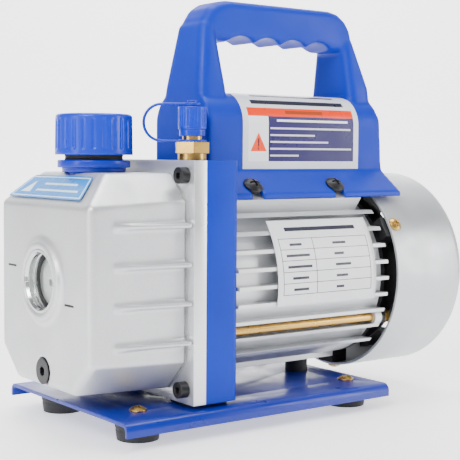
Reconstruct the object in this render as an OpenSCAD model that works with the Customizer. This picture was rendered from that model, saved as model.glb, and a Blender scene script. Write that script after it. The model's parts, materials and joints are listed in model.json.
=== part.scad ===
// HVAC vacuum pump: oil case, vane pump module, motor, fan cowl, handle and base.
// Origin: bottom centre on the floor. +X runs from the oil case to the fan cowl, +Z is up.

/* [Overall] */
// Height of the motor and pump axis above the floor
axis_z = 74.3; // [60:0.1:90]
// Half width of the base plate
base_half_w = 63; // [50:0.5:75]
// Front end of the base plate
base_x0 = -113.1; // [-125:0.1:-100]
// Rear end of the base plate
base_x1 = 62.5; // [50:0.1:75]
// Top of the base plate
base_top = 14.2; // [10:0.1:20]
// Thickness of the base sheet
base_t = 2; // [1:0.1:3]

/* [Pump block] */
// Front face of the steel pump plate
plate_x0 = -69.6; // [-75:0.1:-65]
// Rear face of the steel pump plate
plate_x1 = -61.9; // [-65:0.1:-58]
// Rear face of the painted bracket
bracket_x1 = -40.8; // [-45:0.1:-35]
// Half width of plate and bracket
block_half_w = 56.5; // [50:0.5:62]
// Bottom of plate and bracket
block_z0 = 16.35; // [15:0.05:20]
// Top of plate and bracket
block_z1 = 141.55; // [130:0.05:150]

/* [Oil case] */
// Front face of the oil case
case_x0 = -125.7; // [-135:0.1:-115]
// Wall thickness of the oil case
case_wall = 4.2; // [3:0.1:6]
// Height of the sight glass centre
glass_z = 78.8; // [65:0.1:90]
// Height of the drain plug centre
drain_z = 31.9; // [28:0.1:40]
// Position of the fill cap along the case
fill_x = -95.1; // [-100:0.1:-90]

/* [Vane pump] */
// Radius of the pump bore
bore_r = 24.1; // [20:0.1:26]
// Radius of the pump rotor
rotor_r = 20; // [16:0.1:22]
// Offset of the rotor axis above the bore axis
eccentric = 3.8; // [2:0.1:6]
// Outer radius of the pump cylinder
cyl_r = 36; // [32:0.5:38]
// Thickness of a vane
vane_t = 3.8; // [2:0.1:5]

/* [Motor] */
// Outer radius of the motor barrel
barrel_r = 50; // [46:0.5:54]
// Radius over the fin tips
fin_r = 56.7; // [54:0.1:58]
// Spacing of the fins
fin_pitch = 9.4; // [6:0.1:12]
// Thickness of a fin
fin_t = 2; // [1:0.1:3]
// Rear end of the motor barrel
barrel_x1 = 67; // [60:0.5:70]
// Radius of the motor shaft
shaft_r = 7; // [5:0.5:9]
// Radius of the fan cowl
cowl_r = 59.3; // [58:0.1:62]
// Open end of the fan cowl
cowl_x0 = 72.2; // [70:0.1:76]
// Closed end of the fan cowl
cowl_x1 = 128.5; // [110:0.1:135]

/* [Handle] */
// Front face of the handle housing
grip_x0 = -39.6; // [-45:0.1:-35]
// Rear face of the handle housing at its foot
grip_x1 = 89.6; // [80:0.1:95]
// Half width of the handle housing
grip_half_w = 26.3; // [22:0.1:30]
// Top of the handle
grip_top = 230.5; // [215:0.5:245]
// Wall thickness of the handle housing
grip_wall = 2.5; // [2:0.1:4]

/* [Inlet] */
// Position of the inlet fitting along the block
inlet_x = -52.7; // [-56:0.1:-48]
// Sideways position of the inlet fitting
inlet_y = -29.9; // [-40:0.1:-20]

/* [Hidden] */
$fn = 48;
bore_z = axis_z - eccentric;
case_x1 = plate_x0 - 0.8;
skirt_tilt = 37;
skirt_plane = 65.1;
skirt_shift = 1.9;
cowl_angles = [30.5, 149.5, 270];
tie_points = [[-47, -2.5 * fin_pitch], [47, -2.5 * fin_pitch], [-18, 49.4], [18, 49.4]];
feet = [[-92.6, 39.9], [-92.6, -39.9], [49.7, 39.9], [49.7, -39.9]];
blue = [0.10, 0.22, 0.75];
grey = [0.78, 0.79, 0.80];
dark = [0.08, 0.08, 0.09];
steel = [0.62, 0.63, 0.65];
brass = [0.75, 0.60, 0.32];

// ---- shared shapes ----

// Cylinder along X from x0 to x1
module xcyl(x0, x1, r, y = 0, z = axis_z) {
    translate([x0, y, z]) rotate([0, 90, 0]) cylinder(h = x1 - x0, r = r);
}

// Tube along X
module xtube(x0, x1, ro, ri, y = 0, z = axis_z) {
    difference() {
        xcyl(x0, x1, ro, y, z);
        xcyl(x0 - 1, x1 + 1, ri, y, z);
    }
}

// Tube along Z
module ztube(z0, z1, ro, ri) {
    translate([0, 0, z0]) difference() {
        cylinder(h = z1 - z0, r = ro);
        translate([0, 0, -1]) cylinder(h = z1 - z0 + 2, r = ri);
    }
}

// Box from its two corners
module box(x0, x1, y0, y1, z0, z1) {
    translate([x0, y0, z0]) cube([x1 - x0, y1 - y0, z1 - z0]);
}

// Extrude a Y-Z outline along X
module along_x(x0, x1) {
    translate([x0, 0, 0]) rotate([90, 0, 90]) linear_extrude(height = x1 - x0) children();
}

// Extrude an X-Z outline along Y, from y0 to y1
module along_y(y0, y1) {
    translate([0, y1, 0]) rotate([90, 0, 0]) linear_extrude(height = y1 - y0) children();
}

// Cross-recess pan head screw, seat at z = 0, shank down
module pan_screw(head_r, head_h, shank_r, len) {
    difference() {
        intersection() {
            cylinder(h = head_h, r = head_r);
            translate([0, 0, head_h - 1.45 * head_r]) sphere(r = 1.45 * head_r);
        }
        for (a = [0, 90]) rotate([0, 0, a])
            translate([-head_r * 0.55, -head_r * 0.11, head_h * 0.4])
                cube([head_r * 1.1, head_r * 0.22, head_h]);
    }
    translate([0, 0, -len]) cylinder(h = len + 0.2, r = shank_r);
}

// Socket head screw, seat at z = 0, shank down
module socket_screw(head_r, head_h, shank_r, len) {
    difference() {
        cylinder(h = head_h, r = head_r);
        translate([0, 0, head_h * 0.45]) cylinder(h = head_h, r = head_r * 0.5, $fn = 6);
    }
    translate([0, 0, -len]) cylinder(h = len, r = shank_r);
}

// Hex head bolt with the head below z = 0 and the shank up
module hex_bolt_up(af, head_h, shank_r, len) {
    translate([0, 0, -head_h]) cylinder(h = head_h, r = af / 2 / cos(30), $fn = 6);
    cylinder(h = len, r = shank_r);
}

// Put children on the four corners of a Y-Z rectangle, pointing forward (-X)
module at_corners(x, dy, z_list) {
    for (s = [-1, 1], z = z_list) translate([x, s * dy, z]) rotate([0, -90, 0]) children();
}

// Square-cut ring of the base outline with rounded top corners
module rounded_top(w, h, r) {
    translate([-w, 0]) square([2 * w, h - r]);
    translate([r - w, 0]) square([2 * (w - r), h]);
    for (s = [-1, 1]) translate([s * (w - r), h - r]) circle(r = r);
}

// ---- base ----

module base_plate() {
    color(blue) difference() {
        along_x(base_x0, base_x1) difference() {
            rounded_top(base_half_w, base_top, 4.3);
            rounded_top(base_half_w - base_t, base_top - base_t, 4.3 - base_t);
            translate([-80, -1]) square([160, 8]);
        }
        for (p = feet) translate([p[0], p[1], 5]) cylinder(h = 20, r = 2.3);
        for (s = [-1, 1]) translate([-51.3, s * 40, 5]) cylinder(h = 20, r = 2.7);
        translate([45.5, 0, 5]) cylinder(h = 20, r = 2.7);
    }
}

module rubber_feet() {
    color(dark) for (p = feet) translate([p[0], p[1], 0]) difference() {
        cylinder(h = base_top - base_t, r1 = 10.8, r2 = 12.6);
        translate([0, 0, 3]) cylinder(h = 20, r = 2.1);
        translate([0, 0, 5.5]) rotate_extrude() translate([13.4, 0]) circle(r = 2);
    }
}

module foot_screws() {
    color(brass) for (p = feet) translate([p[0], p[1], base_top]) pan_screw(4.6, 2.6, 2.1, 10.5);
}

module front_mount_pads() {
    color(dark) for (s = [-1, 1]) translate([0, s * 40, 0]) difference() {
        box(-66, -44, -10, 10, base_top, block_z0);
        translate([-51.3, 0, base_top - 1]) cylinder(h = 5, r = 2.6);
    }
}

module front_mount_screws() {
    color(steel) for (s = [-1, 1])
        translate([-51.3, s * 40, base_top - base_t]) hex_bolt_up(8, 3.5, 2.5, 15);
}

module motor_support_post() {
    color(dark) translate([45.5, 0, 0]) ztube(base_top, 22, 6.65, 2.6);
}

module post_screw() {
    color(steel) translate([45.5, 0, base_top - base_t]) hex_bolt_up(8, 3.5, 2.5, 14);
}

// ---- oil case ----

// Rear outline of the oil case, shrunk by d
module case_outline(d = 0) {
    polygon([[34 - d * 0.4, 22.4 + d], [50.2 - d, 38.5 + d * 0.4], [50.2 - d, 120.7 - d * 0.4],
        [35.6 - d * 0.4, 134.9 - d], [d * 0.4 - 35.6, 134.9 - d], [d - 50.2, 120.7 - d * 0.4],
        [d - 50.2, 38.5 + d * 0.4], [d * 0.4 - 34, 22.4 + d]]);
}

module case_skin() {
    er = 4;
    hull() {
        along_x(case_x1 - 1, case_x1) case_outline();
        for (s = [-1, 1]) {
            for (q = [[29.2, 27.5], [44.9, 41.6], [44.7, 116.6]])
                translate([case_x0 + er, s * q[0], q[1]]) sphere(r = er, $fn = 24);
            translate([-106.2, s * 32.2, 130.9]) sphere(r = er, $fn = 24);
        }
    }
}

module case_cavity() {
    w = case_wall;
    hull() {
        along_x(case_x1 - 1, case_x1 + 1) case_outline(w);
        along_x(-106, -105.9) case_outline(w + 0.6);
        along_x(case_x0 + w, case_x0 + w + 0.1)
            polygon([[28.6, 28.2], [44.1, 42.4], [44.1, 113], [-44.1, 113], [-44.1, 42.4], [-28.6, 28.2]]);
    }
}

module oil_case() {
    color(grey) difference() {
        union() {
            difference() {
                case_skin();
                case_cavity();
            }
            // fastening bosses inside the corners
            for (s = [-1, 1], z = [43, 114]) xcyl(-90, case_x1, 5.6, s * 41, z);
            // drain boss inside the front wall
            xcyl(case_x0 + 3, -112, 9, 0, drain_z + 1);
            // sight glass boss
            xcyl(-128.5, -114, 20.7, 0, glass_z);
            xcyl(case_x0 - 0.8, case_x0 + 5, 22, 0, glass_z);
            // four cooling ribs on each side
            for (s = [-1, 1], z = [108.7, 88.7, 68.8, 48.8]) translate([0, 0, z - 1.25])
                linear_extrude(height = 2.5) polygon([[-112.5, s * 47.5], [-111.5, s * 49.9],
                    [case_x1, s * 56.4], [case_x1, s * 48], [-100, s * 47.5]]);
        }
        // sight glass seat and window
        xcyl(-129, -117.5, 16.6, 0, glass_z);
        xcyl(-129, -110, 12.4, 0, glass_z);
        // drain plug seat and hole
        xcyl(-130, case_x0 + 3.5, 7.3, 0, drain_z);
        xcyl(-130, -111, 5.3, 0, drain_z);
        // fill opening
        translate([fill_x, 0, 120]) cylinder(h = 20, r = 13.5);
        // screw holes
        for (s = [-1, 1], z = [43, 114]) xcyl(-84, case_x1 + 1, 2.5, s * 41, z);
    }
}

module case_gasket() {
    color([0.25, 0.3, 0.25]) difference() {
        along_x(case_x1, plate_x0) difference() {
            case_outline();
            case_outline(case_wall);
        }
        for (s = [-1, 1], z = [43, 114]) xcyl(-80, -60, 2.5, s * 41, z);
    }
}

module case_screws() {
    color(steel) for (s = [-1, 1], z = [43, 114])
        translate([plate_x1, s * 41, z]) rotate([0, 90, 0]) socket_screw(4.2, 4, 2.5, 20);
}

module plate_screws() {
    color(dark) at_corners(plate_x0, 48.8, [24, 133.9]) socket_screw(4.25, 5, 2.5, 20);
}

// ---- sight glass ----

module sight_glass_seal() {
    color(dark) xtube(-121.4, -120.3, 16.4, 12.9, 0, glass_z);
}

module sight_glass_lens() {
    color([0.8, 0.9, 0.85, 0.4]) xcyl(-120.3, -118.3, 16.3, 0, glass_z);
}

module sight_glass_ring() {
    color(steel) difference() {
        translate([-127.9, 0, glass_z]) rotate([0, 90, 0]) rotate_extrude()
            polygon([[16.6, 0], [16.6, 6.5], [14, 6.5], [14, 4.6], [14.7, 4.2], [14.7, 3], [14.2, 2.6],
                [14.2, 1.4], [15.2, 0]]);
        for (a = [0, 180]) translate([0, 0, glass_z]) rotate([a, 0, 0])
            translate([-129, 13, -1.2]) cube([2.4, 4, 2.4]);
    }
}

module sight_glass_reflector() {
    color([0.75, 0.78, 0.70]) difference() {
        xcyl(-118.3, -117.5, 16.3, 0, glass_z);
        xcyl(-119, -117, 2, 5.4, glass_z - 1.8);
        xcyl(-119, -117, 2, 2.7, glass_z + 9.6);
    }
}

// ---- drain plug ----

module drain_plug() {
    color(dark) difference() {
        union() {
            xcyl(case_x0 - 0.4, case_x0 + 2.5, 6.8, 0, drain_z);
            xcyl(case_x0 + 2, -113, 5, 0, drain_z);
        }
        translate([case_x0 - 1, 0, drain_z]) rotate([0, 90, 0]) cylinder(h = 4.5, r = 2.7, $fn = 6);
    }
}

module drain_plug_seal() {
    color([0.6, 0.35, 0.2]) xtube(case_x0 + 2.5, case_x0 + 3.5, 6.8, 5.35, 0, drain_z);
}

// ---- fill neck and cap ----

module fill_neck() {
    color(blue) translate([fill_x, 0, 0]) difference() {
        union() {
            translate([0, 0, 130]) cylinder(h = 28, r = 13.5);
            translate([0, 0, 134.9]) cylinder(h = 2.4, r = 16.8);
            translate([0, 0, 137.3]) cylinder(h = 4, r = 19.2);
        }
        translate([0, 0, 129]) cylinder(h = 30, r = 10.5);
    }
}

module fill_cap_seal() {
    color(dark) translate([fill_x, 0, 0]) difference() {
        ztube(141.3, 144, 15.4, 13.85);
        translate([0, 0, 142.65]) rotate_extrude() translate([16.4, 0]) circle(r = 1.3);
    }
}

module fill_cap() {
    color(blue) translate([fill_x, 0, 0]) difference() {
        rotate_extrude() difference() {
            union() {
                polygon([[0, 144], [20.5, 144], [20.25, 163.5], [0, 163.5]]);
                square([18.25, 165.5]);
                translate([18.25, 163.5]) circle(r = 2);
            }
            translate([-1, -1]) square([30, 145]);
            translate([-1, -1]) square([15.2, 161]);
            translate([-30, 0]) square([30, 200]);
        }
        for (i = [0 : 23]) rotate([0, 0, i * 15]) translate([21.1, 0, 147])
            cylinder(h = 16, r = 1.3);
        // shallow dish in the top
        translate([0, 0, 164.9]) cylinder(h = 2, r = 15.5);
    }
}

module exhaust_filter() {
    color([0.9, 0.9, 0.85]) translate([fill_x, 0, 0]) {
        ztube(112, 130, 11.5, 7);
        translate([0, 0, 110.5]) cylinder(h = 1.5, r = 11.5);
    }
}

// ---- plate, bracket and inlet ----

module pump_plate() {
    color(grey) difference() {
        box(plate_x0, plate_x1, -block_half_w, block_half_w, block_z0, block_z1);
        xcyl(-70, -60, 8.08);
        xcyl(-66.6, -60, 14);
        for (s = [-1, 1], z = [24, 133.9]) xcyl(-70, -60, 2.5, s * 48.8, z);
        for (s = [-1, 1], z = [43, 114]) xcyl(-70, -60, 2.5, s * 41, z);
        for (i = [0 : 5]) rotate_about(i * 60) xcyl(-70, -64, 2.5, 30.5, 0);
        xcyl(-70, -60, 3, inlet_y, 84);
    }
}

// Turn children about the pump bore axis
module rotate_about(a) {
    translate([0, 0, bore_z]) rotate([a, 0, 0]) children();
}

module front_bracket() {
    r = 4;
    color(blue) difference() {
        translate([0, 0, block_z0]) linear_extrude(height = block_z1 - block_z0) {
            translate([plate_x1, -block_half_w]) square([bracket_x1 - r - plate_x1, 2 * block_half_w]);
            translate([plate_x1, r - block_half_w])
                square([bracket_x1 - plate_x1, 2 * (block_half_w - r)]);
            for (s = [-1, 1]) translate([bracket_x1 - r, s * (block_half_w - r)]) circle(r = r);
        }
        xcyl(-62, -49, 20);
        xcyl(-50, -40, 9);
        xcyl(-47.8, -40, 16);
        for (s = [-1, 1], z = [24, 133.9]) xcyl(-62, -48, 2.5, s * 48.8, z);
        for (s = [-1, 1], z = [43, 114]) xcyl(-62, -40, 4.5, s * 41, z);
        for (p = tie_points) xcyl(-53, -40, 2.5, p[0], axis_z + p[1]);
        for (s = [-1, 1]) translate([-51.3, s * 40, 10]) cylinder(h = 18.2, r = 2.5);
        // inlet passage
        translate([inlet_x, inlet_y, 81]) cylinder(h = 60, r = 3);
        translate([inlet_x, inlet_y, 131]) cylinder(h = 20, r = 6.6);
        xcyl(-62, inlet_x, 3, inlet_y, 84);
    }
}

module inlet_fitting() {
    color(brass) translate([inlet_x, inlet_y, 0]) difference() {
        union() {
            translate([0, 0, 132]) cylinder(h = 12, r = 6.6);
            translate([0, 0, block_z1]) cylinder(h = 3.6, r = 7.6);
            translate([0, 0, 145.1]) cylinder(h = 6, r = 8.5 / cos(30), $fn = 6);
            translate([0, 0, 151]) cylinder(h = 1.2, r = 4.6);
            translate([0, 0, 152.1]) cylinder(h = 8, r = 5.3);
            translate([0, 0, 160.1]) cylinder(h = 3, r1 = 5.0, r2 = 3.0);
        }
        translate([0, 0, 130]) cylinder(h = 40, r = 2.3);
    }
}

module dust_cap() {
    color(blue) translate([inlet_x, inlet_y, 0]) difference() {
        union() {
            translate([0, 0, 154.1]) cylinder(h = 3.8, r = 6.9);
            difference() {
                translate([0, 0, 157.8]) cylinder(h = 11.9, r = 7.56);
                for (i = [0 : 17]) rotate([0, 0, i * 20]) translate([7.9, 0, 159])
                    cylinder(h = 9.6, r = 0.6);
            }
            translate([0, 0, 169]) cylinder(h = 3, r = 2.1);
            translate([0, 0, 171.8]) cylinder(h = 1.2, r = 2.7);
        }
        translate([0, 0, 153]) cylinder(h = 12, r = 5.7);
    }
}

// Moulded loop from the collar on the fitting to the eye on the cap
module dust_cap_tether() {
    color(blue) translate([inlet_x, inlet_y, 0]) rotate([0, 0, 143]) {
        difference() {
            union() {
                translate([0, 0, 151.1]) cylinder(h = 1, r = 7.6);
                along_y(-1.5, 1.5) {
                    difference() {
                        translate([16, 161.35]) circle(r = 10.25);
                        translate([16, 161.35]) circle(r = 9.25);
                        translate([-4, 140]) square([20, 40]);
                    }
                    translate([5, 151.1]) square([11.1, 1]);
                    translate([3, 170.6]) square([13.1, 1]);
                }
            }
            translate([0, 0, 150]) cylinder(h = 3, r = 4.9);
        }
        ztube(170.1, 171.6, 4.2, 2.4);
    }
}

// ---- vane pump ----

module pump_cylinder() {
    color(grey) difference() {
        xcyl(-96, plate_x0, cyl_r, 0, bore_z);
        xcyl(-97, -69, bore_r, 0, bore_z);
        box(-97, -69, -40, 40, 102.5, 120);
        for (i = [0 : 5]) rotate_about(i * 60) xcyl(-97, -69, 2.5, 30.5, 0);
        // intake port from the plate into the bore
        xcyl(-84, -69, 3, inlet_y, 84);
        translate([-82, inlet_y, 84]) rotate([0, 90, 26]) translate([0, 0, 0]) rotate([-90, 0, 0])
            cylinder(h = 14, r = 2.6);
        // exhaust ports under the reed
        for (x = [-89, -83, -77]) translate([x, 5, 88]) cylinder(h = 20, r = 1.6);
        for (x = [-89, -77]) translate([x, -9, 96]) cylinder(h = 20, r = 1.5);
    }
}

module cylinder_end_cover() {
    color(grey) difference() {
        xcyl(-104, -96, cyl_r, 0, bore_z);
        box(-105, -95, -40, 40, 102.5, 120);
        xcyl(-105, -95, 8.08);
        for (i = [0 : 5]) rotate_about(i * 60) xcyl(-105, -95, 2.5, 30.5, 0);
    }
}

module cylinder_bolts() {
    color(dark) for (i = [0 : 5]) rotate_about(i * 60)
        translate([-104, 30.5, 0]) rotate([0, -90, 0]) socket_screw(4.25, 5, 2.5, 39);
}

module pump_rotor() {
    color(steel) difference() {
        union() {
            xcyl(-95.9, -69.7, rotor_r);
            xcyl(-103.8, -95, 8);
            xcyl(-70, -56, 8);
        }
        for (s = [-1, 1]) box(-96, -69.6, min(s * 6.5, s * 21), max(s * 6.5, s * 21),
            axis_z - vane_t / 2 - 0.1, axis_z + vane_t / 2 + 0.1);
    }
}

module vane(s) {
    color([0.3, 0.3, 0.33]) {
        box(-95.8, -69.8, min(s * 6.8, s * (19.7 - vane_t / 2)), max(s * 6.8, s * (19.7 - vane_t / 2)),
            axis_z - vane_t / 2, axis_z + vane_t / 2);
        xcyl(-95.8, -69.8, vane_t / 2, s * (19.7 - vane_t / 2));
    }
}

module vane_a() { vane(1); }

module vane_b() { vane(-1); }

module exhaust_valve_reed() {
    color(steel) box(-92, -74, -4, 9, 102.5, 103);
}

module valve_stop() {
    color(steel) difference() {
        union() {
            box(-92, -74, -13, -4.3, 102.5, 105);
            translate([-92, -4.9, 103.6]) rotate([12, 0, 0]) cube([18, 15, 1.4]);
        }
        for (x = [-89, -77]) translate([x, -9, 96]) cylinder(h = 20, r = 1.5);
    }
}

module valve_screws() {
    color(steel) for (x = [-89, -77]) translate([x, -9, 105]) pan_screw(3, 2, 1.5, 8.5);
}

module shaft_seal() {
    color(dark) xtube(-66.6, plate_x1, 14, 8.08);
}

module shaft_coupling() {
    color(steel) difference() {
        xcyl(-61.4, -49.8, 13);
        xcyl(-62, -56, 8);
        xcyl(-57, -49, shaft_r);
    }
}

// ---- motor ----

module motor_shaft() {
    color(steel) {
        xcyl(-56, 69, shaft_r);
        xcyl(69, 106, 5);
    }
}

module rotor_core() {
    color([0.4, 0.4, 0.42]) xtube(-22, 34, 25.9, shaft_r);
}

module rotor_end_rings() {
    color(grey) {
        xtube(-27, -22, 24, 12);
        xtube(34, 39, 24, 12);
        for (i = [0 : 7], x = [-31, 38.8]) translate([0, 0, axis_z]) rotate([i * 45, 0, 0])
            box(x, x + 4.2, 14, 23, -1, 1);
    }
}

module stator_core() {
    color([0.35, 0.36, 0.38]) difference() {
        xtube(-22, 34, 45, 26.3);
        for (i = [0 : 11]) translate([0, 0, axis_z]) rotate([i * 30, 0, 0]) xcyl(-23, 35, 2.6, 32, 0);
    }
}

module stator_windings() {
    color([0.7, 0.35, 0.15]) {
        for (x = [-27.8, 39.8]) translate([x, 0, axis_z]) rotate([0, 90, 0])
            rotate_extrude() translate([34.5, 0]) union() {
                translate([-4.5, -5.8]) square([9, 11.6]);
                for (s = [-1, 1]) translate([s * 4.5, 0]) circle(r = 1.9);
            }
        for (i = [0 : 11]) translate([0, 0, axis_z]) rotate([i * 30, 0, 0]) xcyl(-22.5, 34.5, 2.6, 32, 0);
    }
}

module bearing_outer(x0) {
    translate([x0, 0, axis_z]) rotate([0, 90, 0]) rotate_extrude()
        polygon([[13.5, 0.8], [10, 0.8], [10, 0.2], [13.5, 0], [16, 0], [16, 6.8], [13.5, 6.8],
            [10, 6.6], [10, 6], [13.5, 6]]);
}

module bearing_outer_rings() {
    color(steel) {
        bearing_outer(-47.7);
        bearing_outer(62.2);
    }
}

module bearing_inner_rings() {
    color(steel) {
        xtube(-47.7, -40.9, 9.6, shaft_r);
        xtube(62.2, 69, 9.6, shaft_r);
    }
}

module motor_housing() {
    color(grey) difference() {
        union() {
            xcyl(bracket_x1, barrel_x1, barrel_r);
            intersection() {
                union() {
                    for (i = [-4 : 4]) box(bracket_x1, barrel_x1, -fin_r, fin_r,
                        axis_z + i * fin_pitch - fin_t / 2, axis_z + i * fin_pitch + fin_t / 2);
                }
                xcyl(bracket_x1, barrel_x1, fin_r);
            }
            // rails that carry the handle skirt
            for (s = [-1, 1]) translate([0, 0, axis_z]) rotate([-s * skirt_tilt, 0, 0])
                box(-34, 58, -6, 6, 46, skirt_plane - grip_wall - 0.6);
            // top rail for the capacitor clamp
            box(-34, 58, -10, 10, 120, 134);
            // foot rail
            box(bracket_x1, barrel_x1, -9, 9, 22, 28);
            // collars round the lower tie rods
            for (s = [-1, 1]) xcyl(62, barrel_x1, 4.6, s * 47, axis_z - 2.5 * fin_pitch);
        }
        xcyl(-50, 70, 45);
        for (s = [-1, 1], x = [-18, 41.2]) translate([x, 0, axis_z])
            rotate([-s * skirt_tilt, 0, 0]) translate([0, -s * skirt_shift, 0]) cylinder(h = 80, r = 2.5);
        for (p = tie_points) xcyl(-45, 70, 2.5, p[0], axis_z + p[1]);
        translate([45.5, 0, 10]) cylinder(h = 17, r = 2.5);
        for (x = [-5, 25]) translate([x, 0, 124]) cylinder(h = 20, r = 2);
    }
}

module rear_end_shield() {
    color(dark) difference() {
        union() {
            xcyl(barrel_x1, 70, barrel_r);
            xcyl(56, barrel_x1, 45);
            for (p = tie_points) xcyl(barrel_x1, 70, 4.5, p[0], axis_z + p[1]);
            for (a = cowl_angles) translate([0, 0, axis_z]) rotate([a, 0, 0])
                box(69, 81, 42, 57.2, -6, 6);
        }
        xcyl(55, 61, 42);
        xcyl(55, 71, 9.9);
        xcyl(61, 69.1, 16);
        for (p = tie_points) {
            xcyl(59, 71, 2.5, p[0], axis_z + p[1]);
            xcyl(70, 73.8, 5, p[0], axis_z + p[1]);
        }
        for (a = cowl_angles) translate([0, 0, axis_z]) rotate([a, 0, 0])
            translate([76.6, 46, 0]) rotate([-90, 0, 0]) cylinder(h = 20, r = 1.9);
        for (i = [0 : 7]) translate([0, 0, axis_z]) rotate([i * 45 + 22.5, 0, 0])
            xcyl(55, 71, 6.5, 29, 0);
    }
}

module tie_rods() {
    color(brass) for (p = tie_points) {
        xcyl(-52, 70.2, 2.5, p[0], axis_z + p[1]);
        translate([70, p[0], axis_z + p[1]]) rotate([0, 90, 0])
            cylinder(h = 3.6, r = 4.4, $fn = 6);
    }
}

module cooling_fan() {
    color(dark) difference() {
        union() {
            xcyl(84, 104, 13);
            xcyl(84, 86, 46);
            for (i = [0 : 9]) translate([0, 0, axis_z]) rotate([i * 36, 0, 0])
                box(85, 103, 11, 50, -1, 1);
        }
        xcyl(83, 107, 5);
    }
}

module fan_cowl() {
    r = 7;
    color(grey) difference() {
        translate([0, 0, axis_z]) rotate([0, 90, 0]) rotate_extrude() difference() {
            union() {
                translate([0, cowl_x0]) square([cowl_r, cowl_x1 - r - cowl_x0]);
                translate([0, cowl_x0]) square([cowl_r - r, cowl_x1 - cowl_x0]);
                translate([cowl_r - r, cowl_x1 - r]) circle(r = r);
            }
            translate([-1, cowl_x0 - 1]) square([cowl_r - 0.5, cowl_x1 - r - cowl_x0 + 1]);
            translate([-1, cowl_x0 - 1]) square([cowl_r - r + 1, cowl_x1 - cowl_x0 - 0.5]);
            translate([cowl_r - r, cowl_x1 - r]) circle(r = r - 1.5);
            translate([-200, 0]) square([200, 300]);
        }
        for (i = [-5 : 5]) {
            w = sqrt(46 * 46 - i * i * 64);
            box(cowl_x1 - 3, cowl_x1 + 1, -w, w, axis_z + i * 8 - 2, axis_z + i * 8 + 2);
        }
        for (a = cowl_angles) translate([0, 0, axis_z]) rotate([a, 0, 0])
            translate([76.6, 50, 0]) rotate([-90, 0, 0]) cylinder(h = 20, r = 2.2);
    }
}

module cowl_screws() {
    color(brass) for (a = cowl_angles) translate([0, 0, axis_z]) rotate([a, 0, 0])
        translate([76.6, cowl_r, 0]) rotate([-90, 0, 0]) pan_screw(4, 2.4, 1.9, 11);
}

// ---- handle ----

// Y-Z outline of the handle housing and skirt, shrunk by d
module housing_outline(d = 0) {
    r = 17.3;
    w = grip_half_w - d;
    top = 179 - d;
    translate([-w, 130]) square([2 * w, top - r + d - 130]);
    for (s = [-1, 1]) translate([s * (grip_half_w - r), 179 - r]) circle(r = r - d);
    translate([r - grip_half_w, 150]) square([2 * (grip_half_w - r), top - 150]);
    polygon([[-43 + d, 110], [-43 + d, 123.4 - 0.5 * d], [-26.3 + 0.3 * d, 136 - d],
        [26.3 - 0.3 * d, 136 - d], [43 - d, 123.4 - 0.5 * d], [43 - d, 110]]);
}

// One post of the handle; each level is [low x, high x, half width, height], edges rounded by r
module post(levels, r) {
    hull() for (q = levels, x = [q[0] + r, q[1] - r], s = [-1, 1])
        translate([x, s * (q[2] - r), q[3]]) sphere(r = r, $fn = 32);
}

module carry_handle() {
    color(blue) difference() {
        union() {
            // housing and skirt, with rounded upright corners
            intersection() {
                along_x(grip_x0, grip_x1) housing_outline();
                along_y(-60, 60) polygon([[grip_x0, 110], [grip_x0, 181], [86.7, 181], [87.2, 172],
                    [grip_x1, 136], [grip_x1, 110]]);
            }
            post([[grip_x0 + 0.1, -20.6, 20.8, 168], [grip_x0 + 0.2, -20.8, 18.6, 181],
                [-34.6, -24.8, 13.6, 214]], 4.5);
            post([[70.7, 87.1, 20.8, 168], [70.5, 87, 18.2, 184], [69, 78.2, 13.6, 211]], 4.5);
            // grip with well rounded ends
            hull() for (s = [-1, 1], a = [0, 22.5, 45, 67.5, 90]) {
                translate([-15.5 - 12.8 * cos(a), s * 7.6, 212.5 + 12.8 * sin(a)])
                    sphere(r = 5.2, $fn = 32);
                translate([59.5 + 13.4 * cos(a), s * 7.6, 211.9 + 13.4 * sin(a)])
                    sphere(r = 5.2, $fn = 32);
            }
        }
        // inside of the housing
        difference() {
            along_x(grip_x0 + grip_wall, 83.6) housing_outline(grip_wall);
            box(-60, 100, -60, 60, 176.5, 200);
        }
        box(-60, 100, -60, 60, 100, 120);
        // room for the motor and the cowl
        xcyl(-60, 70.5, fin_r + 0.6);
        xcyl(70.5, 130, cowl_r + 1);
        for (s = [-1, 1]) translate([0, 0, axis_z]) rotate([-s * skirt_tilt, 0, 0])
            box(-34.2, 100, -6.2, 6.2, 40, skirt_plane - grip_wall);
        // finger scallops
        for (x = [-6, 13, 32, 51]) translate([x, 0, 197.6]) rotate([90, 0, 0])
            cylinder(h = 60, r = 13.6, center = true);
        // screw slots open to the skirt edge
        for (s = [-1, 1], x = [-18, 41.2]) translate([x, 0, axis_z]) rotate([-s * skirt_tilt, 0, 0]) {
            translate([0, -s * skirt_shift, 55]) cylinder(h = 14, r = 3.2);
            box(-3.2, 3.2, min(-s * skirt_shift, s * 20), max(-s * skirt_shift, s * 20), 55, 75);
        }
        // pocket for the socket and the switch
        box(86, 100, -23, 23, 141, 171.5);
        box(80, 100, -20.8, 4.8, 145.8, 166.2);
        box(80, 100, 8.3, 21.7, 144.8, 167.2);
    }
}

module handle_screws() {
    color(dark) for (s = [-1, 1], x = [-18, 41.2]) translate([x, 0, axis_z])
        rotate([-s * skirt_tilt, 0, 0]) translate([0, -s * skirt_shift, skirt_plane])
            pan_screw(5.7, 3.4, 2.5, 12.5);
}

module capacitor() {
    color([0.2, 0.2, 0.22]) {
        xcyl(-27, 30, 15, 0, 155);
        xcyl(30, 32, 12, 0, 155);
        for (s = [-1, 1]) box(31, 38, s * 5 - 2, s * 5 + 2, 154.6, 155.4);
    }
}

module capacitor_clamp() {
    color(steel) difference() {
        union() {
            xcyl(0, 20, 16.4, 0, 155);
            box(0, 20, -10, 10, 134, 150);
        }
        xcyl(-1, 21, 15, 0, 155);
    }
}

// ---- power inlet and switch ----

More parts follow.
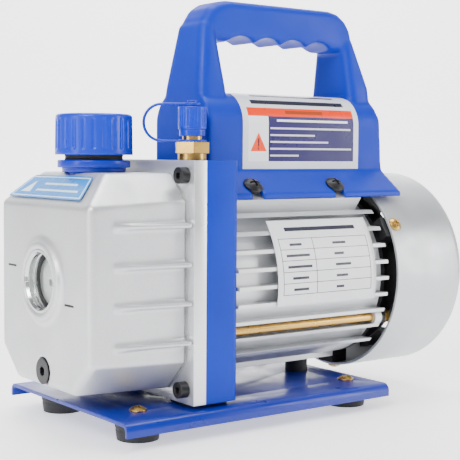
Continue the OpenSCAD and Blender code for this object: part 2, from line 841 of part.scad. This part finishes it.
module power_inlet() {
    color(dark) difference() {
        union() {
            box(86, 88.4, -22, 6, 144.5, 167.5);
            box(64, 86, -20.6, 4.6, 146, 166);
        }
        along_x(68, 90) polygon([[-19.4, 147.8], [3.4, 147.8], [3.4, 160], [-0.6, 164.2],
            [-15.4, 164.2], [-19.4, 160]]);
        for (p = [[-14.5, 153], [-8, 158], [-1.5, 153]])
            box(60, 70, p[0] - 1, p[0] + 1, p[1] - 2, p[1] + 2);
    }
}

module inlet_pins() {
    color(steel) for (p = [[-14.5, 153], [-8, 158], [-1.5, 153]])
        box(58, 82, p[0] - 1, p[0] + 1, p[1] - 2, p[1] + 2);
}

module switch_bezel() {
    color(dark) difference() {
        union() {
            box(86, 88.4, 7.4, 22.6, 143.8, 168.2);
            box(70, 86, 8.4, 21.6, 145, 167);
        }
        box(82, 90, 9.9, 20.1, 146.4, 165.6);
        translate([83, 20.1, 156]) rotate([90, 0, 0]) cylinder(h = 10.2, r = 10);
    }
}

module rocker_switch() {
    color([0.15, 0.15, 0.16]) translate([83, 0, 156]) rotate([0, -10, 0]) along_y(10.2, 19.8)
        polygon([[-5, -3], [-5, 3], [1, 8], [4.6, 8.4], [5, 8], [3.6, 0], [5, -8], [4.6, -8.4], [1, -8]]);
}

// Curved data label over the fin tips on the left side
module motor_label() {
    color([0.92, 0.93, 0.95]) intersection() {
        xtube(-15.4, 56, fin_r + 0.6, fin_r);
        box(-16, 57, -60, -30, 63.5, 108.7);
    }
}

base_plate();
rubber_feet();
foot_screws();
front_mount_pads();
front_mount_screws();
motor_support_post();
post_screw();
oil_case();
case_gasket();
case_screws();
plate_screws();
sight_glass_lens();
sight_glass_ring();
sight_glass_seal();
sight_glass_reflector();
fill_neck();
fill_cap_seal();
fill_cap();
exhaust_filter();
pump_plate();
front_bracket();
inlet_fitting();
dust_cap_tether();
dust_cap();
pump_cylinder();
cylinder_end_cover();
cylinder_bolts();
pump_rotor();
vane_a();
vane_b();
exhaust_valve_reed();
valve_stop();
valve_screws();
shaft_seal();
shaft_coupling();
motor_shaft();
rotor_core();
rotor_end_rings();
stator_core();
stator_windings();
bearing_outer_rings();
bearing_inner_rings();
motor_housing();
rear_end_shield();
tie_rods();
cooling_fan();
fan_cowl();
cowl_screws();
carry_handle();
handle_screws();
capacitor();
capacitor_clamp();
power_inlet();
inlet_pins();
switch_bezel();
rocker_switch();
drain_plug();
drain_plug_seal();
motor_label();
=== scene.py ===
import json
import math

import bmesh
import bpy
from mathutils import Matrix, Vector


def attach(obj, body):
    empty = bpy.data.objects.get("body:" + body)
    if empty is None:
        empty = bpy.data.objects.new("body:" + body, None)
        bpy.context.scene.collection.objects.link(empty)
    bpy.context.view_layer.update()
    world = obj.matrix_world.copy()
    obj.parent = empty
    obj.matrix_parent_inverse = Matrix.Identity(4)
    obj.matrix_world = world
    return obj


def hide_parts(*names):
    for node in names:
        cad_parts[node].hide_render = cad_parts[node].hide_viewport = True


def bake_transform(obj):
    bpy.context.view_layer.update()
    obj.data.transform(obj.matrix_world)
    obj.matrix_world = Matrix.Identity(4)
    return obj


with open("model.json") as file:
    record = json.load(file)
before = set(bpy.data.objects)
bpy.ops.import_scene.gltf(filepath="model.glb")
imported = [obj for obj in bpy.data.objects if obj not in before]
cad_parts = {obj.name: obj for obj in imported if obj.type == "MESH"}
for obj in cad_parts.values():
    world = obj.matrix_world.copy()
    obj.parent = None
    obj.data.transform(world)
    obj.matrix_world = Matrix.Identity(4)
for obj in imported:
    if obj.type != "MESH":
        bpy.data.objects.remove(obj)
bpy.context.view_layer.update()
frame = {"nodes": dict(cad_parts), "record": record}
NODES = frame["nodes"]
SLOT_OF = {s["node"]: s["material_slot"] for s in frame["record"]["subparts"]}

# Places on the object, in metres, that more than one piece refers to
AXIS_Z = 0.0743
GLASS_Z = 0.0788
GRIP_HALF_WIDTH = 0.0263

CAMERA_PLACE = (-0.3989, -0.5293, 0.1446)
CAMERA_AZIMUTH, CAMERA_PITCH, CAMERA_ROLL = (math.radians(v) for v in (-36.64, 3.77, 0.37))
CAMERA_LENS, CAMERA_SENSOR = 89.6, 36


# ---- camera ----

def place_camera():
    """A long lens a little above the object's middle, seen from the oil case end."""
    azimuth, pitch, roll = CAMERA_AZIMUTH, CAMERA_PITCH, CAMERA_ROLL
    back = Vector((math.sin(azimuth) * math.cos(pitch),
                   -math.cos(azimuth) * math.cos(pitch), math.sin(pitch)))
    right = Vector((math.cos(azimuth), math.sin(azimuth), 0))
    up = back.cross(right)
    right, up = (right * math.cos(roll) + up * math.sin(roll),
                 up * math.cos(roll) - right * math.sin(roll))
    data = bpy.data.cameras.new("camera")
    data.sensor_width = CAMERA_SENSOR
    data.lens = CAMERA_LENS
    data.clip_start = 0.01
    cam = bpy.data.objects.new("camera", data)
    bpy.context.scene.collection.objects.link(cam)
    turn = Matrix((right, up, back)).transposed().to_4x4()
    cam.matrix_world = Matrix.Translation(CAMERA_PLACE) @ turn
    bpy.context.scene.camera = cam


def area_light(name, place, target, size, watts):
    data = bpy.data.lights.new(name, "AREA")
    data.shape = "RECTANGLE"
    data.size, data.size_y = size
    data.energy = watts
    lamp = bpy.data.objects.new(name, data)
    bpy.context.scene.collection.objects.link(lamp)
    look = Vector(target) - Vector(place)
    turn = look.to_track_quat("-Z", "Y").to_matrix().to_4x4()
    lamp.matrix_world = Matrix.Translation(place) @ turn


# ---- material building blocks ----

class Graph:
    """Short names for the shader nodes used below."""

    def __init__(self, name):
        self.mat = bpy.data.materials.new(name)
        self.mat.use_nodes = True
        self.tree = self.mat.node_tree
        self.bsdf = self.tree.nodes["Principled BSDF"]
        self.coords = self.tree.nodes.new("ShaderNodeTexCoord")

    def put(self, socket, value):
        if hasattr(value, "is_linked"):
            self.tree.links.new(value, socket)
        else:
            socket.default_value = value

    def math(self, op, a, b=0.0):
        n = self.tree.nodes.new("ShaderNodeMath")
        n.operation = op
        self.put(n.inputs[0], a)
        self.put(n.inputs[1], b)
        return n.outputs[0]

    def noise(self, scale, detail, stretch=None):
        n = self.tree.nodes.new("ShaderNodeTexNoise")
        n.inputs["Scale"].default_value = scale
        n.inputs["Detail"].default_value = detail
        source = self.coords.outputs["Object"]
        if stretch:
            m = self.tree.nodes.new("ShaderNodeMapping")
            m.inputs["Scale"].default_value = stretch
            self.put(m.inputs["Vector"], source)
            source = m.outputs[0]
        self.put(n.inputs["Vector"], source)
        return n.outputs[0]

    def remap(self, value, low, high, out_low, out_high):
        n = self.tree.nodes.new("ShaderNodeMapRange")
        for socket, v in zip(n.inputs[:5], (value, low, high, out_low, out_high)):
            self.put(socket, v)
        return n.outputs[0]

    def mix(self, factor, a, b):
        n = self.tree.nodes.new("ShaderNodeMix")
        n.data_type = "RGBA"
        self.put(n.inputs[0], factor)
        self.put(n.inputs[6], a if hasattr(a, "is_linked") else (*a, 1))
        self.put(n.inputs[7], b if hasattr(b, "is_linked") else (*b, 1))
        return n.outputs[2]

    def bump(self, height, strength, distance, normal=None):
        n = self.tree.nodes.new("ShaderNodeBump")
        n.inputs["Strength"].default_value = strength
        n.inputs["Distance"].default_value = distance
        self.put(n.inputs["Height"], height)
        if normal:
            self.put(n.inputs["Normal"], normal)
        return n.outputs[0]

    def soft_edge(self, radius):
        n = self.tree.nodes.new("ShaderNodeBevel")
        n.samples = 6
        n.inputs["Radius"].default_value = radius
        return n.outputs[0]

    def edge_mask(self, soft):
        geo = self.tree.nodes.new("ShaderNodeNewGeometry")
        dot = self.tree.nodes.new("ShaderNodeVectorMath")
        dot.operation = "DOT_PRODUCT"
        self.put(dot.inputs[0], soft)
        self.put(dot.inputs[1], geo.outputs["Normal"])
        return self.remap(dot.outputs["Value"], 0.995, 0.85, 0.0, 1.0)

    def between(self, value, low, high):
        return self.math("MULTIPLY", self.math("GREATER_THAN", value, low),
                         self.math("LESS_THAN", value, high))

    def rect(self, u, v, u0, u1, v0, v1):
        return self.math("MULTIPLY", self.between(u, u0, u1), self.between(v, v0, v1))


GRAIN_HEIGHT = 0.00003
ROUGH_SWING = 0.08


def surface(name, colour, rough, metal=0.0, coat=0.0, tone=0.10, tone_scale=18.0, grain=900.0,
            grain_strength=0.25, stretch=None, edge=0.0004, edge_wear_and_highlight=None, edge_wear_and_highlight_amount=0.35,
            speck=0.0, shine=0.5):
    """Colour drift, roughness drift, surface grain, softened edges, and edges lightened towards a given
    colour, which is partly edge wear and partly a painted edge highlight.
    """
    g = Graph(name)
    drift = g.noise(tone_scale, 4.0)
    dark = tuple(c * (1 - tone) for c in colour)
    light = tuple(min(1.0, c * (1 + tone)) for c in colour)
    shade = g.mix(g.remap(drift, 0.3, 0.7, 0.0, 1.0), dark, light)
    if speck:
        fine = g.noise(grain * 0.6, 1.0)
        spots = tuple(c * 0.55 for c in colour)
        shade = g.mix(g.remap(fine, 0.35, 0.65, 0.0, speck), shade, spots)
    normal = g.soft_edge(edge)
    # Lightened edges: partly edge wear, partly a painted edge highlight where light catches the rounded
    # edges.
    if edge_wear_and_highlight:
        edge_wear_and_highlight_breakup = g.remap(g.noise(260.0, 4.0), 0.35, 0.7, 0.0, edge_wear_and_highlight_amount)
        shade = g.mix(g.math("MULTIPLY", g.edge_mask(normal), edge_wear_and_highlight_breakup), shade, edge_wear_and_highlight)
    fine = g.noise(grain, 2.0, stretch)
    g.put(g.bsdf.inputs["Base Color"], shade)
    g.put(g.bsdf.inputs["Metallic"], metal)
    g.put(g.bsdf.inputs["Specular IOR Level"], shine)
    g.put(g.bsdf.inputs["Coat Weight"], coat)
    g.put(g.bsdf.inputs["Coat Roughness"], 0.08)
    g.put(g.bsdf.inputs["Roughness"],
          g.remap(g.noise(tone_scale * 3, 5.0), 0.3, 0.7, rough - ROUGH_SWING, rough + ROUGH_SWING))
    g.put(g.bsdf.inputs["Normal"], g.bump(fine, grain_strength, GRAIN_HEIGHT, normal))
    return g.mat


def glass_material():
    """Clear lens: alpha rather than transmission, so that light reaches the disc behind."""
    g = Graph("sight_glass_clear")
    g.bsdf.inputs["Base Color"].default_value = (0.90, 0.96, 0.93, 1)
    g.bsdf.inputs["Alpha"].default_value = 0.14
    g.bsdf.inputs["IOR"].default_value = 1.46
    g.put(g.bsdf.inputs["Roughness"], g.remap(g.noise(60.0, 5.0), 0.4, 0.8, 0.0, 0.06))
    return g.mat


MATERIALS = {
    "gloss_blue": surface("base_gloss_blue", (0.0, 0.013, 0.27), 0.34, shine=0.35, coat=0.12,
                          grain=420.0, grain_strength=0.10, edge_wear_and_highlight=(0.02, 0.06, 0.40)),
    "bracket_blue": surface("bracket_powder_blue", (0.0, 0.022, 0.38), 0.42, shine=0.18,
                            grain=1500.0, grain_strength=0.22, edge_wear_and_highlight=(0.02, 0.08, 0.50)),
    "handle_blue": surface("handle_textured_blue", (0.0, 0.022, 0.38), 0.42, shine=0.2, grain=2600.0,
                           grain_strength=0.35, edge=0.0006, tone=0.06),
    "cap_blue": surface("cap_gloss_blue", (0.0, 0.024, 0.46), 0.30, shine=0.3, coat=0.1, grain=900.0,
                        grain_strength=0.08, tone=0.05),
    "blue_plastic": surface("neck_blue", (0.0, 0.016, 0.36), 0.30, shine=0.3, coat=0.1, grain=900.0,
                            grain_strength=0.08, tone=0.05),
    "rubber": surface("black_rubber", (0.018, 0.018, 0.019), 0.62, grain=1400.0, grain_strength=0.5,
                      speck=0.3),
    "brass": surface("brass_turned", (0.54, 0.33, 0.085), 0.27, metal=1.0, grain=1500.0,
                     grain_strength=0.15, tone=0.16, edge_wear_and_highlight=(0.85, 0.58, 0.22)),
    "steel": surface("steel_zinc", (0.56, 0.57, 0.58), 0.30, metal=1.0, grain=1600.0,
                     grain_strength=0.2, tone=0.12, edge_wear_and_highlight=(0.9, 0.9, 0.9)),
    # Painted edge highlight: the case's edges are lightened to near white to stand for the highlights
    # on its rounded edges.
    "cast_alu": surface("cast_aluminium", (0.62, 0.63, 0.645), 0.42, metal=0.65, grain=1500.0,
                        grain_strength=0.38, speck=0.10, tone=0.05, edge=0.0009,
                        edge_wear_and_highlight=(0.94, 0.95, 0.96), edge_wear_and_highlight_amount=0.8),
    "gasket": surface("gasket_fibre", (0.36, 0.37, 0.36), 0.7, grain=1500.0, speck=0.3),
    "black_steel": surface("black_oxide", (0.022, 0.022, 0.024), 0.38, metal=0.6, grain=1300.0,
                           edge_wear_and_highlight=(0.25, 0.25, 0.26)),
    "glass": glass_material(),
    "chrome": surface("ring_bright", (0.62, 0.63, 0.64), 0.22, metal=1.0, grain=1800.0,
                      grain_strength=0.1, edge_wear_and_highlight=(0.95, 0.95, 0.95)),
    "reflector": surface("reflector_disc", (0.66, 0.72, 0.68), 0.45, grain=600.0, tone=0.15),
    "filter": surface("filter_felt", (0.72, 0.70, 0.62), 0.9, grain=2500.0, grain_strength=0.8),
    "plate_steel": surface("plate_ground", (0.72, 0.73, 0.745), 0.33, metal=0.75, grain=900.0,
                           grain_strength=0.25, stretch=(1, 1, 0.06), tone=0.06,
                           edge_wear_and_highlight=(0.95, 0.95, 0.95)),
    "iron": surface("machined_iron", (0.26, 0.26, 0.27), 0.4, metal=1.0, grain=900.0,
                    stretch=(0.1, 1, 1), tone=0.2),
    "vane": surface("carbon_vane", (0.05, 0.048, 0.045), 0.5, grain=700.0, stretch=(0.2, 1, 1),
                    speck=0.4),
    "lamination": surface("laminated_steel", (0.27, 0.28, 0.30), 0.4, metal=1.0, grain=1800.0,
                          grain_strength=0.6, stretch=(1, 0.02, 0.02), tone=0.2),
    "alu": surface("extruded_aluminium", (0.66, 0.67, 0.685), 0.40, metal=0.65, grain=1100.0,
                   grain_strength=0.25, stretch=(0.05, 1, 1), edge=0.0003, tone=0.06,
                   edge_wear_and_highlight=(0.92, 0.93, 0.95)),
    "copper": surface("winding_copper", (0.45, 0.16, 0.05), 0.3, metal=0.8, coat=0.5, grain=1100.0,
                      grain_strength=0.8, stretch=(1, 0.1, 0.1), tone=0.2),
    "black_plastic": surface("moulded_black", (0.020, 0.020, 0.022), 0.42, grain=2200.0,
                             grain_strength=0.3, tone=0.1),
    "cowl_paint": surface("cowl_silver", (0.50, 0.515, 0.53), 0.36, metal=0.55, coat=0.15,
                          grain=1900.0, grain_strength=0.12, speck=0.06, tone=0.04, edge=0.0005),
}


# ---- mesh building blocks ----

WELD_DISTANCE = 2e-6
FLAT_ANGLE = math.radians(0.6)
SHARP_ANGLE = math.radians(35)


def add_object(name, mesh):
    obj = bpy.data.objects.new(name, mesh)
    bpy.context.scene.collection.objects.link(obj)
    return obj


def bake_modifiers(obj):
    graph = bpy.context.evaluated_depsgraph_get()
    mesh = bpy.data.meshes.new_from_object(obj.evaluated_get(graph))
    obj.modifiers.clear()
    obj.data = mesh
    mesh.polygons.foreach_set("use_smooth", [True] * len(mesh.polygons))
    return obj


def welded_copy(node, name):
    obj = add_object(name, NODES[node].data.copy())
    bm = bmesh.new()
    bm.from_mesh(obj.data)
    bmesh.ops.remove_doubles(bm, verts=bm.verts, dist=WELD_DISTANCE)
    bm.to_mesh(obj.data)
    bm.free()
    return obj


def moulded(node, name, voxel, rounds):
    """The node's form with the soft, continuous edges of a casting or moulding."""
    obj = welded_copy(node, name)
    grid = obj.modifiers.new("grid", "REMESH")
    grid.mode = "VOXEL"
    grid.voxel_size = voxel
    soften = obj.modifiers.new("soften", "SMOOTH")
    soften.factor = 0.5
    soften.iterations = rounds
    return bake_modifiers(obj)


def broken_edges(node, name, width):
    """The node's form with its sharp edges broken by a small real bevel."""
    obj = welded_copy(node, name)
    bm = bmesh.new()
    bm.from_mesh(obj.data)
    bmesh.ops.dissolve_limit(bm, angle_limit=FLAT_ANGLE, verts=bm.verts, edges=bm.edges)
    bm.to_mesh(obj.data)
    bm.free()
    bevel = obj.modifiers.new("bevel", "BEVEL")
    bevel.width = width
    bevel.segments = 3
    bevel.limit_method = "ANGLE"
    bevel.angle_limit = SHARP_ANGLE
    bake_modifiers(obj)
    obj.data.set_sharp_from_angle(angle=SHARP_ANGLE)
    return obj


def dress(obj, material, body, slot, *replaced):
    obj.data.materials.clear()
    obj.data.materials.append(material)
    if body:
        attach(obj, body)
    if replaced:
        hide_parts(*replaced)
    return obj


def dress_cad_nodes():
    for name, obj in NODES.items():
        slot = SLOT_OF[name]
        if slot in MATERIALS:
            obj.data.materials.clear()
            obj.data.materials.append(MATERIALS[slot])


# ---- the painted, cast and moulded pieces ----

MOULDED = [
    ("carry_handle", "handle_shell", 0.00095, 9, "pump"),
    ("oil_case", "oil_case_casting", 0.0008, 5, "pump"),
    ("fill_cap", "fill_cap_moulding", 0.00045, 3, "fill_cap"),
    ("dust_cap", "dust_cap_moulding", 0.00025, 3, "dust_cap"),
]
BEVELLED = [
    ("front_bracket", "bracket_casting", 0.0012, "pump"),
    ("pump_plate", "plate_ground_steel", 0.0005, "pump"),
    ("base_plate", "base_sheet", 0.0004, "pump"),
    ("fill_neck", "fill_neck_moulding", 0.0006, "pump"),
]


def make_shells():
    for node, name, voxel, rounds, body in MOULDED:
        slot = SLOT_OF[node]
        dress(moulded(node, name, voxel, rounds), MATERIALS[slot], body, slot, node)
    for node, name, width, body in BEVELLED:
        slot = SLOT_OF[node]
        dress(broken_edges(node, name, width), MATERIALS[slot], body, slot, node)


def make_tether():
    """The strap that runs from the inlet collar at its foot to the cap at its top."""
    piece = moulded("dust_cap_tether", "dust_cap_tether_strap", 0.0003, 3)
    swell = piece.modifiers.new("swell", "DISPLACE")
    swell.mid_level = 0.0
    swell.strength = 0.00022
    bake_modifiers(piece)
    dress(piece, MATERIALS["cap_blue"], None, "cap_blue", "dust_cap_tether")
    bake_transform(piece)


# ---- printed labels ----

def patch(name, columns, rows, at):
    """A grid sheet whose points come from at(u, v), with matching UVs."""
    bm = bmesh.new()
    uv = bm.loops.layers.uv.new("label")
    grid = [[bm.verts.new(at(i / columns, j / rows)) for i in range(columns + 1)]
            for j in range(rows + 1)]
    for j in range(rows):
        for i in range(columns):
            face = bm.faces.new((grid[j][i], grid[j][i + 1], grid[j + 1][i + 1], grid[j + 1][i]))
            face.smooth = True
            for loop, (a, b) in zip(face.loops, ((i, j), (i + 1, j), (i + 1, j + 1), (i, j + 1))):
                loop[uv].uv = (a / columns, b / rows)
    mesh = bpy.data.meshes.new(name)
    bm.to_mesh(mesh)
    bm.free()
    return add_object(name, mesh)


def label_graph(name, rough):
    """A satin printed film, with the sheet's own U and V from 0 to 1."""
    g = Graph(name)
    split = g.tree.nodes.new("ShaderNodeSeparateXYZ")
    g.put(split.inputs[0], g.coords.outputs["UV"])
    g.put(g.bsdf.inputs["Roughness"], g.remap(g.noise(70.0, 4.0), 0.3, 0.7, rough - 0.06, rough + 0.06))
    g.put(g.bsdf.inputs["Normal"], g.bump(g.noise(500.0, 2.0), 0.08, GRAIN_HEIGHT))
    g.bsdf.inputs["Coat Weight"].default_value = 0.04
    g.bsdf.inputs["Specular IOR Level"].default_value = 0.25
    return g, split.outputs[0], split.outputs[1]


def paint(g, base, layers, u, v):
    """Plain rectangles (colour, (u0, u1, v0, v1)) laid over the base colour in order."""
    dull = tuple(c * 0.94 for c in base)
    colour = g.mix(g.remap(g.noise(25.0, 3.0), 0.3, 0.7, 0.0, 1.0), dull, base)
    for tint, box in layers:
        colour = g.mix(g.rect(u, v, *box), colour, tint)
    g.put(g.bsdf.inputs["Base Color"], colour)


def triangle(g, colour, u, v, cu, cv, half, height, tint):
    """A plain warning triangle, apex up."""
    rise = g.math("DIVIDE", g.math("SUBTRACT", v, cv), height)
    reach = g.math("MULTIPLY", g.math("SUBTRACT", 1.0, rise), half)
    side = g.math("LESS_THAN", g.math("ABSOLUTE", g.math("SUBTRACT", u, cu)), reach)
    return g.mix(g.math("MULTIPLY", side, g.between(rise, 0.0, 1.0)), colour, tint)


def handle_label():
    """Film on the side of the handle housing that wraps over its rounded top edge."""
    r, half, top, lift = 0.0173, GRIP_HALF_WIDTH, 0.179, 0.00022
    low, high = 0.1367, top - r
    straight, bend = high - low, r * math.radians(84)

    def at(u, v):
        x = -0.0165 + u * 0.0861
        s = v * (straight + bend)
        if s < straight:
            return Vector((x, -half - lift, low + s))
        a = (s - straight) / r
        return Vector((x, -(half - r) - (r + lift) * math.cos(a), high + (r + lift) * math.sin(a)))

    piece = patch("handle_label_film", 40, 48, at)
    g, u, v = label_graph("handle_label_print", 0.30)
    ink, white = (0.012, 0.012, 0.022), (0.84, 0.85, 0.87)
    violet, orange = (0.009, 0.003, 0.085), (0.80, 0.040, 0.0)
    panel_right, panel_top = 0.955, 0.585
    layers = [(orange, (0.045, panel_right, panel_top, 0.685)),
              (white, (0.045, 0.21, 0.085, panel_top)),
              (violet, (0.21, panel_right, 0.085, panel_top)),
              ((0.30, 0.05, 0.01), (0.36, 0.68, 0.617, 0.655)),
              (white, (0.28, 0.90, 0.527, 0.552)),
              (ink, (0.10, 0.90, 0.735, 0.80)),
              (ink, (0.14, 0.86, 0.875, 0.915))]
    for k, length in enumerate((0.70, 0.38, 0.50, 0.71, 0.24)):
        row = 0.443 - 0.076 * k
        layers.append(((0.62, 0.60, 0.72), (0.225, 0.225 + length, row, row + 0.020)))
    paint(g, (0.70, 0.72, 0.76), layers, u, v)
    colour = g.bsdf.inputs["Base Color"].links[0].from_socket
    colour = triangle(g, colour, u, v, 0.128, 0.195, 0.066, 0.21, (0.90, 0.060, 0.0))
    colour = g.mix(g.rect(u, v, 0.123, 0.133, 0.25, 0.34), colour, ink)
    colour = g.mix(g.rect(u, v, 0.123, 0.133, 0.215, 0.235), colour, ink)
    g.put(g.bsdf.inputs["Base Color"], colour)
    dress(piece, g.mat, "pump", "label")


def motor_label():
    """Foil wrapped over the fins, with an empty table."""
    radius, low, high = 0.05725, math.radians(-10.9), math.radians(37.0)

    def at(u, v):
        a = low + (high - low) * v
        return Vector((-0.0154 + u * 0.0714, -radius * math.cos(a), AXIS_Z + radius * math.sin(a)))

    piece = patch("motor_data_label", 24, 40, at)
    thick = piece.modifiers.new("thick", "SOLIDIFY")
    thick.thickness = 0.00035
    thick.offset = 1.0
    bake_modifiers(piece)
    g, u, v = label_graph("motor_label_print", 0.25)
    line, ink = (0.035, 0.035, 0.045), (0.035, 0.035, 0.05)
    layers = [(ink, (0.14, 0.86, 0.855, 0.905))]
    for k in range(6):
        row = 0.12 + 0.128 * k
        layers.append((line, (0.05, 0.95, row, row + 0.007)))
    for column in (0.05, 0.38, 0.943):
        layers.append((line, (column, column + 0.006, 0.12, 0.767)))
    for k, (a, b) in enumerate(((0.15, 0.30), (0.14, 0.30), (0.10, 0.34), (0.10, 0.33), (0.15, 0.27))):
        row = 0.165 + 0.128 * k
        layers.append((ink, (a, b, row, row + 0.03)))
        layers.append((ink, (0.58, 0.66 + 0.02 * ((k * 2) % 5), row, row + 0.03)))
    paint(g, (0.78, 0.79, 0.81), layers, u, v)
    dress(piece, g.mat, "pump", "label", "motor_label")


def case_sticker():
    """Light blue film on the sloping front of the case roof."""
    low = Vector((-0.1248, 0, 0.1200))
    high = Vector((-0.1092, 0, 0.1342))
    along = high - low
    lift = Vector((-along.z, 0, along.x)).normalized() * 0.00035

    def at(u, v):
        half = 0.0400 - 0.0085 * v
        round_off = 0.0012 * (abs(2 * v - 1) ** 8)
        across = (0.5 - u) * 2 * (half - round_off) + 0.004
        return low + along * (0.10 + 0.80 * v) + lift + Vector((0, across, 0))

    piece = patch("case_roof_sticker", 32, 12, at)
    g, u, v = label_graph("case_sticker_print", 0.28)
    blue, pale = (0.0, 0.22, 0.66), (0.60, 0.80, 0.92)
    layers = [(pale, (0.02, 0.035, 0.06, 0.94)), (pale, (0.965, 0.98, 0.06, 0.94)),
              (pale, (0.02, 0.98, 0.06, 0.10)), (pale, (0.02, 0.98, 0.90, 0.94)),
              (pale, (0.34, 0.84, 0.58, 0.66)), (pale, (0.30, 0.90, 0.30, 0.38))]
    paint(g, blue, layers, u, v)
    colour = g.bsdf.inputs["Base Color"].links[0].from_socket
    colour = triangle(g, colour, u, v, 0.165, 0.24, 0.070, 0.5, (0.70, 0.84, 0.93))
    g.put(g.bsdf.inputs["Base Color"], colour)
    dress(piece, g.mat, "pump", "label")


def level_line(name, y0, y1, z):
    """A short dark painted oil level mark, slightly proud of the casting."""
    half, front = 0.00055, -0.12595
    bm = bmesh.new()
    bmesh.ops.create_cube(bm, size=1.0)
    for vert in bm.verts:
        vert.co = Vector((front + 0.0003 * (vert.co.x + 0.5), (y0 + y1) / 2 + vert.co.y * (y1 - y0),
                          z + 2 * half * vert.co.z))
    bmesh.ops.bevel(bm, geom=bm.edges[:], offset=0.00012, segments=2, affect="EDGES")
    mesh = bpy.data.meshes.new(name)
    bm.to_mesh(mesh)
    bm.free()
    dress(add_object(name, mesh), MATERIALS["black_steel"], "pump", "black_steel")


def painted_hole_shade(name, y, z):
    """Painted shade: a thin black disc that stands for the shaded bottom of a hole in the disc behind
    the sight glass.
    """
    bm = bmesh.new()
    turn = Matrix.Translation((-0.1178, y, z)) @ Matrix.Rotation(math.radians(90), 4, "Y")
    bmesh.ops.create_cone(bm, cap_ends=True, segments=32, radius1=0.0019, radius2=0.0019,
                          depth=0.0003, matrix=turn)
    mesh = bpy.data.meshes.new(name)
    bm.to_mesh(mesh)
    bm.free()
    dress(add_object(name, mesh), MATERIALS["black_steel"], "pump", "black_steel")


# ---- stage ----

def make_stage():
    """A pale seamless sweep and soft studio lights."""
    profile = [(-2.2, 0.0), (1.6, 0.0)]
    profile += [(1.6 + 0.8 * math.sin(math.radians(a)), 0.8 - 0.8 * math.cos(math.radians(a)))
                for a in range(10, 91, 10)]
    profile.append((2.4, 3.4))
    away = Vector((0.5954, 0.8007, 0)).normalized()
    side = Vector((away.y, -away.x, 0))
    bm = bmesh.new()
    rows = [[bm.verts.new(away * d + side * w + Vector((0, 0, h))) for w in (-3.5, 3.5)]
            for d, h in profile]
    for a, b in zip(rows, rows[1:]):
        bm.faces.new((a[0], a[1], b[1], b[0])).smooth = True
    bmesh.ops.recalc_face_normals(bm, faces=bm.faces[:])
    mesh = bpy.data.meshes.new("sweep")
    bm.to_mesh(mesh)
    bm.free()
    floor = add_object("sweep", mesh)
    g = Graph("sweep_white")
    g.bsdf.inputs["Base Color"].default_value = (0.93, 0.93, 0.935, 1)
    g.bsdf.inputs["Roughness"].default_value = 0.5
    g.bsdf.inputs["Emission Color"].default_value = (1, 1, 1, 1)
    g.bsdf.inputs["Emission Strength"].default_value = 0.85
    floor.data.materials.append(g.mat)
    world = bpy.data.worlds.new("studio")
    bpy.context.scene.world = world
    world.use_nodes = True
    world.node_tree.nodes["Background"].inputs["Color"].default_value = (1, 1, 1, 1)
    nodes, links = world.node_tree.nodes, world.node_tree.links
    path = nodes.new("ShaderNodeLightPath")
    seen = nodes.new("ShaderNodeMapRange")
    seen.inputs["To Min"].default_value = 0.42
    seen.inputs["To Max"].default_value = 1.15
    links.new(path.outputs["Is Camera Ray"], seen.inputs["Value"])
    links.new(seen.outputs["Result"], nodes["Background"].inputs["Strength"])
    middle = (0, 0, 0.11)
    area_light("key", (-0.85, -0.55, 0.85), middle, (0.5, 0.5), 15)
    area_light("side", (1.0, -0.9, 0.35), middle, (0.35, 0.9), 9)
    area_light("front", (-1.3, -0.1, 0.45), middle, (0.3, 0.9), 6)
    area_light("top", (0.1, 0.1, 1.2), middle, (1.0, 0.6), 18)
    area_light("backdrop", (0.7, 0.9, 1.5), (1.3, 1.8, 0.6), (2.5, 1.0), 75)


place_camera()
dress_cad_nodes()
make_shells()
make_tether()
handle_label()
motor_label()
case_sticker()
level_line("level_mark_high", 0.0300, 0.0390, 0.0845)
level_line("level_mark_low", -0.0330, -0.0240, 0.0690)
# Painted shade at the bottom of two holes in the reflector disc.
painted_hole_shade("painted_hole_shade_side", 0.0054, GLASS_Z - 0.0018)
painted_hole_shade("painted_hole_shade_high", 0.0027, GLASS_Z + 0.0096)
make_stage()
